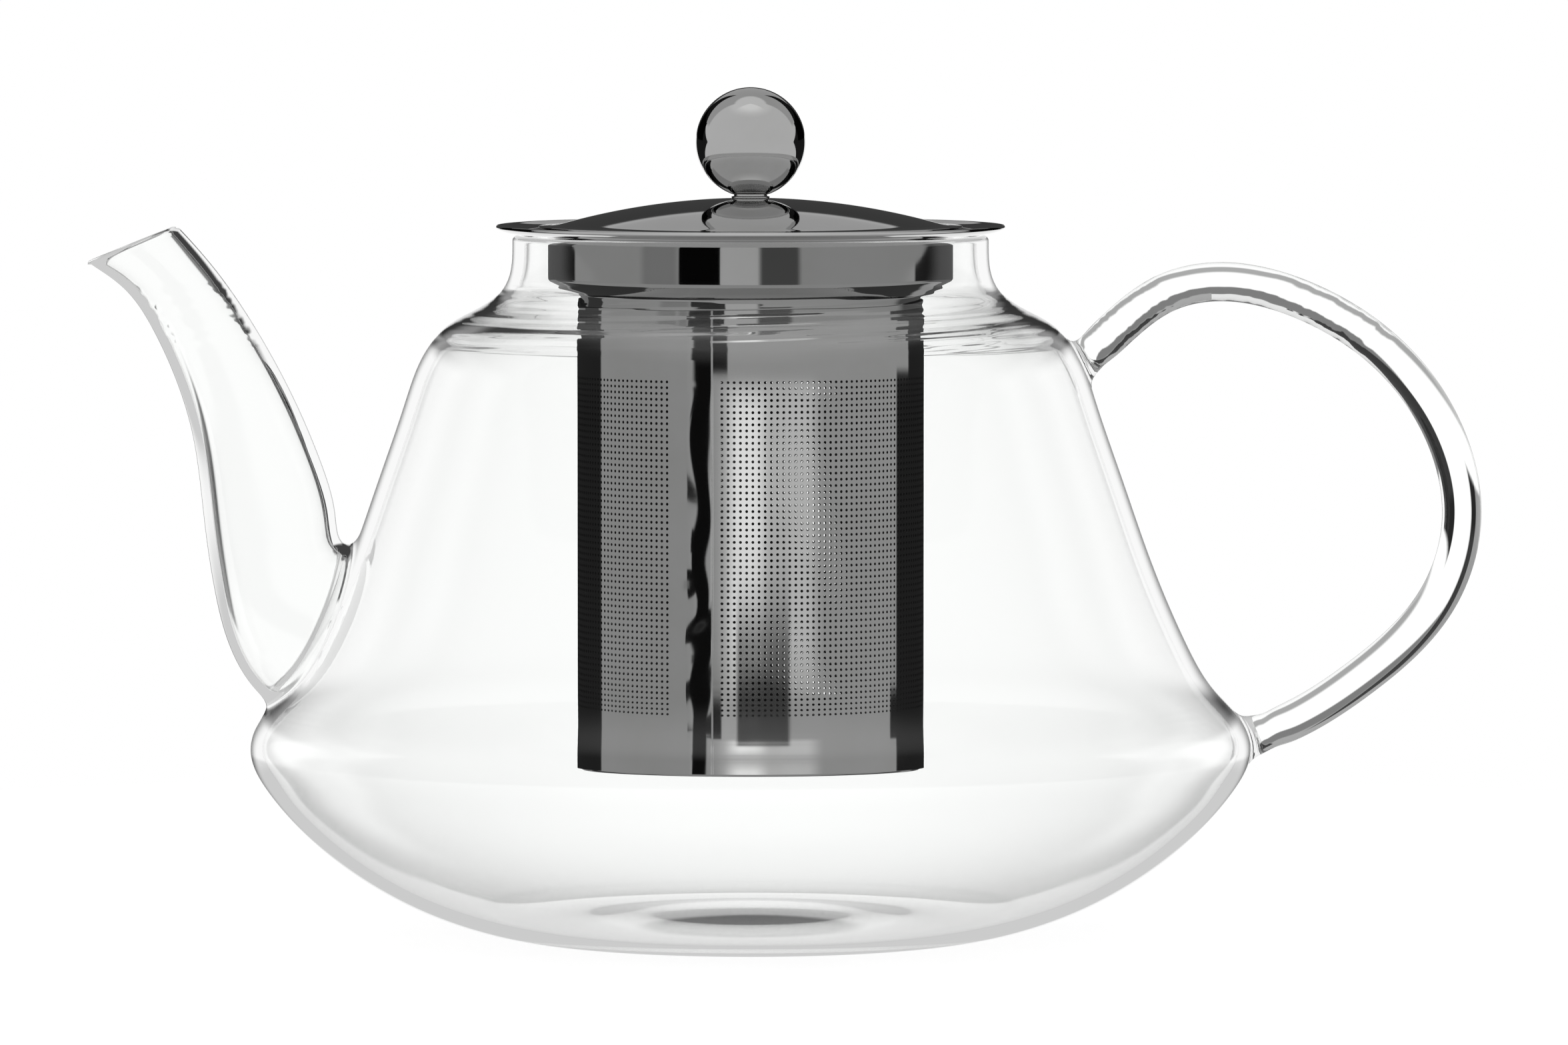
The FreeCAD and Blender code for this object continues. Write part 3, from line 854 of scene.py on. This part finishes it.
def screen_piece(name, edges, punched):
    """Part of the rolled sheet between its first and last edge angle, with the holes of its punched columns.

    edges are the columns' borders in degrees, and punched says which columns have holes. The inside's
    vertices follow the outside's in the same order.
    """
    levels = HOLES_LOW_Z + HOLE_PITCH * np.arange(HOLE_ROWS + 1)
    levels = np.concatenate([[SCREEN_LOW_Z], levels, [SCREEN_TOP_Z]])
    rows, columns = len(levels), len(edges)
    corner = np.arange(rows * columns).reshape(rows, columns)
    has_hole = np.zeros((rows - 1, columns - 1), bool)
    has_hole[1:-1] = punched
    cells = np.argwhere(has_hole)
    i, j = np.nonzero(~has_hole)
    plain = quads(corner[i, j], corner[i, j + 1], corner[i + 1, j + 1], corner[i + 1, j])

    angle, height = np.meshgrid(edges, levels)
    hole_angle, hole_height, direction = hole_places(edges, levels, cells)
    angle = np.concatenate([angle.ravel(), hole_angle.ravel()])
    height = np.concatenate([height.ravel(), hole_height.ravel()])
    hole = rows * columns + np.arange(hole_angle.size).reshape(hole_angle.shape)
    count = len(angle)
    outside, inside, outward, radial, around = sheet_skin(angle, height)
    skin_normal = np.vstack([outward, -radial])

    sides, corners = punched_faces(corner, cells, hole)
    front = np.vstack([sides, plain])
    after = np.roll(hole, -1, axis=1)
    walls = np.stack([hole, after, after + count, hole + count], -1).reshape(-1, 4)
    to_middle = -(around[hole] * np.cos(direction)[:, None] + UP * np.sin(direction)[:, None])
    wall_normal = np.zeros_like(skin_normal)
    wall_normal[hole] = wall_normal[hole + count] = to_middle
    groups = [
        (front, skin_normal),
        (corners, skin_normal),
        (front[:, ::-1] + count, skin_normal),
        (corners[:, ::-1] + count, skin_normal),
        (walls, wall_normal),
    ]
    faces, normals = [], []
    for group, normal in groups:
        faces += group.tolist()
        normals.append(normal[group].reshape(-1, 3))
    borders = [
        (corner[-1, :-1], corner[-1, 1:], UP),
        (corner[0, 1:], corner[0, :-1], -UP),
        (corner[1:, -1], corner[:-1, -1], around[corner[0, -1]]),
        (corner[:-1, 0], corner[1:, 0], -around[corner[0, 0]]),
    ]
    for first, last, facing in borders:
        group = quads(first, last, last + count, first + count)
        faces += group.tolist()
        normals.append(np.tile(facing, (group.size, 1)))

    thing = new_object(name, np.vstack([outside, inside]), faces)
    thing.data.normals_split_custom_set(np.vstack(normals).tolist())
    return thing


def screen():
    """The screen's two pieces, which meet at the back."""
    pitch = (360 + STRIP_FROM_DEG - STRIP_TO_DEG) / HOLE_COLUMNS
    border = STRIP_TO_DEG + pitch * np.arange(HOLE_COLUMNS + 1)
    half = HOLE_COLUMNS // 2
    first = screen_piece("infuser_screen_a", border[: half + 1], np.ones(half, bool))
    # The strip's columns are narrow at the lap's edge, where the sheet steps down
    strip = np.concatenate([
        np.linspace(STRIP_FROM_DEG, LAP_EDGE_DEG - 1.0, 16)[1:],
        LAP_EDGE_DEG + np.array([-0.6, -0.3, -0.12, 0.0, 0.12, 0.3, 0.6]),
        np.linspace(LAP_EDGE_DEG + 1.0, STRIP_TO_DEG, 3),
    ])
    edges = np.concatenate([border[half:], strip + 360])
    punched = np.arange(len(edges) - 1) < HOLE_COLUMNS - half
    second = screen_piece("infuser_screen_b", edges, punched)
    return first, second


# Materials

BOROSILICATE_IOR = 1.47
# Depths of the glass's ripple and of the rings in its shoulder, where those lie, and the steel's waves
GLASS_RIPPLE = 0.02
SHOULDER_RINGS = 0.17
SHOULDER_RINGS_Z = (97.5, 108.0)
STEEL_WAVE = 0.004
PAINTED_INSIDE_SHADE = 0.15          # how bright the screen's inside is painted beside its outside: painted shade that darkens the holes


def node(tree, kind, inputs=None, **settings):
    """A shader node with its settings, and its inputs set to values or linked to sockets."""
    made = tree.nodes.new("ShaderNode" + kind)
    for key, value in settings.items():
        setattr(made, key, value)
    for key, value in (inputs or {}).items():
        if isinstance(value, bpy.types.NodeSocket):
            tree.links.new(value, made.inputs[key])
        else:
            made.inputs[key].default_value = value
    return made


def new_material(name, values):
    """A material with one shader in it and the shader's values, and the place on the piece for patterns."""
    material = bpy.data.materials.new(name)
    material.use_nodes = True
    tree = material.node_tree
    tree.nodes.clear()
    shader = node(tree, "BsdfPrincipled", values)
    node(tree, "OutputMaterial", {"Surface": shader.outputs[0]})
    place = node(tree, "TexCoord").outputs["Object"]
    return material, tree, shader, place


def calculated(tree, operation, *values):
    """The result of a Math node."""
    return node(tree, "Math", dict(enumerate(values)), operation=operation).outputs[0]


def noise(tree, place, scale, detail=2.0, roughness=0.5):
    made = node(tree, "TexNoise", {"Vector": place, "Scale": scale, "Detail": detail, "Roughness": roughness})
    return made.outputs["Fac"]


def ranged(tree, value, low, high, first=0.0, last=1.0, kind="LINEAR"):
    inputs = {"Value": value, "From Min": low, "From Max": high, "To Min": first, "To Max": last}
    return node(tree, "MapRange", inputs, interpolation_type=kind).outputs["Result"]


def stretched(tree, place, scale):
    return node(tree, "Mapping", {"Vector": place, "Scale": scale}).outputs[0]


def bumped(tree, height, distance, before=None):
    inputs = {"Height": height, "Distance": distance, "Strength": 1.0}
    if before:
        inputs["Normal"] = before
    return node(tree, "Bump", inputs).outputs[0]


def flat_length(tree, place):
    """The distance from the upright axis."""
    flat = stretched(tree, place, (1, 1, 0))
    return node(tree, "VectorMath", {0: flat}, operation="LENGTH").outputs["Value"]


def clear_glass():
    """Colourless borosilicate, blown by hand: a slow ripple in its surface, and rings round its shoulder."""
    values = {"Base Color": (0.985, 0.99, 0.985, 1), "Roughness": 0.0, "Transmission Weight": 1.0}
    values["IOR"] = BOROSILICATE_IOR
    material, tree, shader, place = new_material("clear_glass", values)
    ripple = noise(tree, stretched(tree, place, (1, 1, 0.45)), 34.0, 1.0)
    normal = bumped(tree, ripple, GLASS_RIPPLE * MM)
    z = node(tree, "SeparateXYZ", {0: place}).outputs["Z"]
    low, high = SHOULDER_RINGS_Z
    up = ranged(tree, z, low * MM, (low + 2) * MM, kind="SMOOTHSTEP")
    down = ranged(tree, z, high * MM, (high - 2) * MM, kind="SMOOTHSTEP")
    # A noise of radius and height makes rings, which a little of the place itself keeps from being perfect
    rings = node(tree, "CombineXYZ", {0: flat_length(tree, place), 2: z}).outputs[0]
    rings = node(tree, "VectorMath", {0: stretched(tree, place, (0.06, 0.06, 0)), 1: rings}).outputs[0]
    height = calculated(tree, "MULTIPLY", noise(tree, rings, 420.0, 1.0), up)
    height = calculated(tree, "MULTIPLY", height, down)
    tree.links.new(bumped(tree, height, SHOULDER_RINGS * MM, normal), shader.inputs["Normal"])
    return material


def steel(name, shade, roughness, grain, grain_scale, painted_shade_radius=0.0):
    """Stainless steel: its sheet is never quite flat, and polishing leaves fine marks.

    The grain is the depth of those marks. Within the painted shade radius round the axis, which is the inside
    of the screen, the steel's colour is darkened: painted shade that makes the holes look dark.
    """
    material, tree, shader, place = new_material(name, {"Metallic": 1.0})
    smudge = noise(tree, place, 90.0, 4.0, 0.6)
    tint = node(tree, "Mix", {"Factor": ranged(tree, smudge, 0.35, 0.7)}, data_type="RGBA")
    tint.inputs["A"].default_value = (shade, shade, shade, 1)
    tint.inputs["B"].default_value = (shade * 0.95, shade * 0.95, shade * 0.94, 1)
    # Painted shade: the colour is darkened within the given radius, the screen's inside, so the holes look
    # dark
    edge = (painted_shade_radius - 0.1) * MM, painted_shade_radius * MM
    painted_inside_shade = ranged(tree, flat_length(tree, place), *edge, PAINTED_INSIDE_SHADE, 1.0)
    colour = node(tree, "VectorMath", {0: tint.outputs["Result"], 1: painted_inside_shade}, operation="MULTIPLY").outputs[0]
    tree.links.new(colour, shader.inputs["Base Color"])
    tree.links.new(ranged(tree, smudge, 0.3, 0.75, *roughness), shader.inputs["Roughness"])
    normal = bumped(tree, noise(tree, place, 42.0, 1.0), STEEL_WAVE * MM)
    marks = noise(tree, stretched(tree, place, grain_scale), 1.0, 3.0, 0.7)
    tree.links.new(bumped(tree, marks, grain * MM, normal), shader.inputs["Normal"])
    return material


def turned_steel():
    """Lathe-turned steel, with fine rings round its axis."""
    values = {"Metallic": 1.0, "Base Color": (0.56, 0.56, 0.555, 1)}
    material, tree, shader, place = new_material("turned_steel", values)
    inputs = {"Vector": place, "Scale": 900.0, "Distortion": 0.6, "Detail": 2.0}
    rings = node(tree, "TexWave", inputs, wave_type="RINGS", rings_direction="Z").outputs["Fac"]
    tree.links.new(ranged(tree, rings, 0.0, 1.0, 0.22, 0.34), shader.inputs["Roughness"])
    tree.links.new(bumped(tree, rings, STEEL_WAVE * MM), shader.inputs["Normal"])
    return material


def floor_material():
    """A pale glowing table top, as under product photographs, which keeps a faint shadow."""
    values = {"Roughness": 0.8, "Specular IOR Level": 0.0}
    values |= {"Emission Color": (1, 1, 1, 1), "Emission Strength": FLOOR_GLOW}
    material, tree, shader, place = new_material("pale_floor", values)
    shade = ranged(tree, noise(tree, place, 60.0, 3.0), 0.3, 0.7, 0.28, 0.32)
    tree.links.new(shade, shader.inputs["Base Color"])
    return material


# Studio


def both_sides(left, right, *rest):
    """A panel on the handle's side, and its mirror image on the spout's."""
    return [(-right, -left, *rest), (left, right, *rest)]


# What surrounds the pot, by direction as seen from it. A panel is its azimuth from and to, in degrees from
# the camera's side towards the handle, its elevation from and to, its softness across and up, and its
# brightness. Later panels lie over earlier ones. Each kind of ray has its own list: what the lid mirrors,
# what the infuser mirrors behind the glass, what the glass mirrors, and what is seen through the glass.
SEEN_BY_LID = [
    (-200, 200, 60, 95, 14, 14, 0.72),
    (-70, 70, 70, 95, 16, 16, 0.9),
    (-200, 200, -95, -27, 1.5, 1.5, 0.37),
    *both_sides(110, 200, 20, 66, 6, 6, 0.42),
    *both_sides(157, 200, -40, 1, 2, 2, 1.0),
    *both_sides(120, 200, 1, 20, 1.5, 1.5, 0.05),
]
SEEN_BY_INFUSER = [
    (-200, -40, -95, 95, 4, 1, 0.38),
    (-200, 200, -95, -18, 1, 2, 0.36),
    (-173, -142, -54, -20, 3, 3, 0.04),
    (138, 173, -60, -27, 3, 3, 0.04),
    (-200, 200, -18, -6.2, 1, 0.6, 0.34),
    (-64, -42, -18, -6.2, 6, 0.6, 0.24),
    (-18, 5.5, -18, -6.2, 3, 0.6, 0.5),
    (5.5, 28, -18, -6.2, 4, 0.6, 0.08),
    (-41, -17, -18, -6.2, 1, 0.6, 0.0),
    (-200, -122, -18, -6.2, 2, 0.6, 0.2),
    (-146, -122, -18, -6.2, 2, 0.6, 0.04),
    (120, 200, -18, -6.2, 12, 0.6, 0.08),
    (-39, -15, -1.6, 30, 1, 0.4, 0.0),
    (-38, -27, -6.2, 0, 1.5, 0.4, 0.0),
    (-43, -19, -6.2, -4.6, 1, 0.2, 0.0),
    (-18, 44, -4.4, -2.1, 14, 0.8, 0.74),
    (-12, 8, -4.2, -2.5, 12, 0.9, 1.3),
    (-9, 26, -6.2, -3.85, 4, 0.5, 0.05),
    (-19, -9, -6.2, -4.6, 2, 0.1, 0.5),
    (-200, -118, -6.2, 30, 2, 0.2, 0.015),
    (130, 200, -6.2, 30, 2, 0.2, 0.015),
    (114, 200, -6.2, -1.4, 2, 0.6, 0.015),
    (107, 200, -6.2, -4.4, 2, 0.3, 0.015),
]
MIRRORED_BY_GLASS = [
    *both_sides(100, 163, -30, 60, 12, 10, 0.95),
    (-220, 220, 27, 95, 1, 8, 0.05),
    (-220, 220, 65, 95, 1, 20, 0.5),
    (-220, 220, -95, -9, 1, 6, 0.6),
    *both_sides(173, 220, -12, 14, 3, 2, 1.0),
]
SEEN_THROUGH_GLASS = [
    (-220, 220, 25, 95, 1, 8, 0.85),
    (-220, 220, -38, -22, 1, 6, 0.4),
    (-220, 220, 8, 27, 1, 3, 0.2),
    (-220, -50, 24, 60, 8, 4, 0.4),
    (-164, -118, -8, 30, 4, 2, 0.32),
    (-163, -150, -8, 30, 2, 2, 0.02),
    (128, 163, -8, 30, 2, 2, 0.02),
    *both_sides(17, 52, -8, 30, 2, 2, 0.02),
]
LID_BASE_LIGHT = 0.63
INFUSER_BASE_LIGHT = 0.42
MIRRORED_BASE_LIGHT = 0.02
GLASS_BASE_LIGHT = 1.12

# The dark gaps at both sides, between the light in front and the white wall: their azimuths, how far they
# narrow for each degree of elevation, and how dark they are
GAP_FROM_DEG = 102
GAP_TO_DEG = 158
GAP_LEAN = 1.1
GAP_SOFT_DEG = 2
GAP_DARKNESS = 0.98

FLOOR_GLOW = 0.92
FLOOR_R = 300.0
FLOOR_T = 4.0
FLOOR_PLACE = (0.0, 40.0, -0.4)


def studio():
    """The world: plain white behind the pot for the camera, and soft panels around it for all other rays.

    The glass is perfectly smooth and the steel isn't, so a singular ray is one that the glass mirrored.
    """
    world = bpy.data.worlds.new("studio")
    bpy.context.scene.world = world
    world.use_nodes = True
    tree = world.node_tree
    tree.nodes.clear()

    def maths(operation, *values):
        return calculated(tree, operation, *values)

    direction = node(tree, "TexCoord").outputs["Generated"]
    x, y, z = node(tree, "SeparateXYZ", {0: direction}).outputs
    azimuth = maths("DEGREES", maths("ARCTAN2", x, maths("MULTIPLY", y, -1.0)))
    elevation = maths("DEGREES", maths("ARCSINE", z))

    def inside(value, low, high, soft):
        rise = ranged(tree, value, low - soft / 2, low + soft / 2, kind="SMOOTHSTEP")
        fall = ranged(tree, value, high + soft / 2, high - soft / 2, kind="SMOOTHSTEP")
        return maths("MULTIPLY", rise, fall)

    def chosen(factor, new, old):
        return maths("MULTIPLY_ADD", factor, maths("SUBTRACT", new, old), old)

    def panels(base, layers):
        light = base
        for left, right, low, high, soft_across, soft_up, value in layers:
            across = inside(azimuth, left, right, soft_across)
            up = inside(elevation, low, high, soft_up)
            mask = maths("MULTIPLY", across, up)
            light = maths("MULTIPLY_ADD", mask, maths("SUBTRACT", value, light), light)
        return light

    away = maths("ABSOLUTE", azimuth)
    leaning = maths("MULTIPLY_ADD", maths("ABSOLUTE", elevation), -GAP_LEAN, away)
    past_front = inside(leaning, GAP_FROM_DEG, 300, GAP_SOFT_DEG)
    before_wall = inside(away, -5, GAP_TO_DEG, GAP_SOFT_DEG)
    gap = maths("MULTIPLY", past_front, before_wall)
    shade = maths("SUBTRACT", 1.0, maths("MULTIPLY", gap, GAP_DARKNESS))

    path = node(tree, "LightPath").outputs
    behind_glass = maths("GREATER_THAN", path["Transmission Depth"], 0.5)
    light = maths("MULTIPLY", panels(LID_BASE_LIGHT, SEEN_BY_LID), shade)
    light = chosen(behind_glass, panels(INFUSER_BASE_LIGHT, SEEN_BY_INFUSER), light)
    mirrored = panels(MIRRORED_BASE_LIGHT, MIRRORED_BY_GLASS)
    light = chosen(path["Is Singular Ray"], mirrored, light)
    light = chosen(path["Is Transmission Ray"], panels(GLASS_BASE_LIGHT, SEEN_THROUGH_GLASS), light)
    light = chosen(path["Is Camera Ray"], 1.0, light)
    background = node(tree, "Background", {"Color": (1, 1, 1, 1), "Strength": light})
    node(tree, "OutputWorld", {"Surface": background.outputs[0]})


def floor():
    """A round table top. The panels stand in for it wherever steel or glass would show it."""
    half = FLOOR_T / 2
    profile = [(0, -FLOOR_T), (FLOOR_R, -FLOOR_T), (FLOOR_R + FLOOR_T, -half), (FLOOR_R, 0), (0, 0)]
    top = turned("floor", profile, columns=96, closed=False)
    top.location = Vector(FLOOR_PLACE) * MM
    top.data.materials.append(floor_material())
    top.visible_glossy = False
    top.visible_transmission = False


def camera():
    data = bpy.data.cameras.new("camera")
    data.sensor_width = SENSOR_WIDTH
    data.lens = CAMERA_LENS
    data.clip_start, data.clip_end = 0.05, 20
    thing = linked("camera", data)
    place, aim = Vector(CAMERA_PLACE) * MM, Vector(CAMERA_AIM) * MM
    thing.location = place
    thing.rotation_euler = (aim - place).to_track_quat("-Z", "Y").to_euler()
    bpy.context.scene.camera = thing


def render_settings():
    scene = bpy.context.scene
    scene.view_settings.view_transform = "Standard"
    scene.cycles.max_bounces = 28
    scene.cycles.transmission_bounces = 24
    scene.cycles.glossy_bounces = 10
    scene.cycles.transparent_max_bounces = 16
    scene.cycles.caustics_reflective = True
    scene.cycles.caustics_refractive = True
    scene.cycles.sample_clamp_indirect = 4.0


def place_piece(piece, body, slot, material, *nodes):
    """Gives a piece its material and its body, and hides the CAD nodes that it replaces. The slot is not
    used.
    """
    piece.data.materials.clear()
    piece.data.materials.append(material)
    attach(piece, body)
    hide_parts(*nodes)


def main():
    render_settings()
    camera()
    studio()
    floor()

    glass = clear_glass()
    polished = steel("polished_steel", 0.62, (0.035, 0.05), 0.0001, (400, 400, 60))
    # The screen's inside gets painted shade, which darkens its holes
    painted_shade_radius = SCREEN_R - SCREEN_T / 4
    sheet = steel("screen_steel", 0.62, (0.035, 0.06), 0.0001, (300, 300, 40), painted_shade_radius)
    brushed = steel("brushed_steel", 0.58, (0.2, 0.32), 0.003, (60, 60, 1400))
    turned_finish = turned_steel()

    pot = glass_mesh()
    pot.visible_glossy = False
    place_piece(pot, "pot", "glass", glass, "pot_bowl", "pot_flank", "pot_neck", "spout", "handle")
    place_piece(collar(), "infuser", "polished_steel", polished, "infuser_collar")
    for piece in screen():
        place_piece(piece, "infuser", "screen_steel", sheet, "infuser_screen")
    place_piece(base_pan(), "infuser", "polished_steel", polished, "infuser_base")
    place_piece(dome(), "lid", "polished_steel", polished, "lid_dome")
    place_piece(skirt(), "lid", "brushed_steel", brushed, "lid_skirt")
    place_piece(ball(), "lid", "polished_steel", polished, "knob_ball")
    place_piece(neck(), "lid", "turned_steel", turned_finish, "knob_insert")
    for name in ("knob_washer", "knob_spring_washer", "knob_screw"):
        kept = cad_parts[name]
        kept.data.materials.clear()
        kept.data.materials.append(turned_finish)


main()
